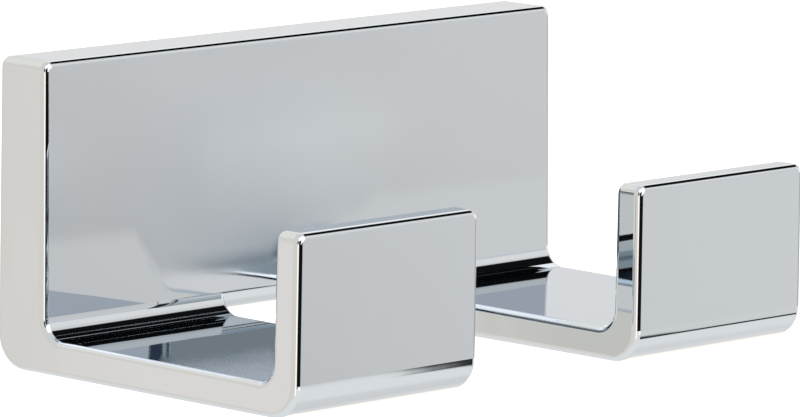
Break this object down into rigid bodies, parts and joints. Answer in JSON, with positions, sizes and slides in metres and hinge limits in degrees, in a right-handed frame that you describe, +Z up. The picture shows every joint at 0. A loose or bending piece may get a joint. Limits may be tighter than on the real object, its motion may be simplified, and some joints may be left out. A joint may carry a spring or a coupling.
{
  "type": "double robe hook",
  "caption": "Wall-mounted robe hook: a rectangular plate with a square upturned hook at each end, hung on a hidden bevelled bracket and locked by a set screw.",
  "frame": {"origin": "on the wall plane, midway between the bracket's two screw holes", "axes": "+X along the plate, +Y into the wall, +Z up; the hooks point to -Y"},
  "size_m": [0.1, 0.0576, 0.0425],
  "materials": {
    "polished_chrome": "mirror polished chrome plate on a zinc casting",
    "zinc_plated_steel": "bright zinc plated",
    "stainless_steel": "turned"
  },
  "bodies": {
    "root": {"hook_body": "polished_chrome", "wall_bracket": "zinc_plated_steel", "set_screw": "stainless_steel"}
  },
  "joints": []
}
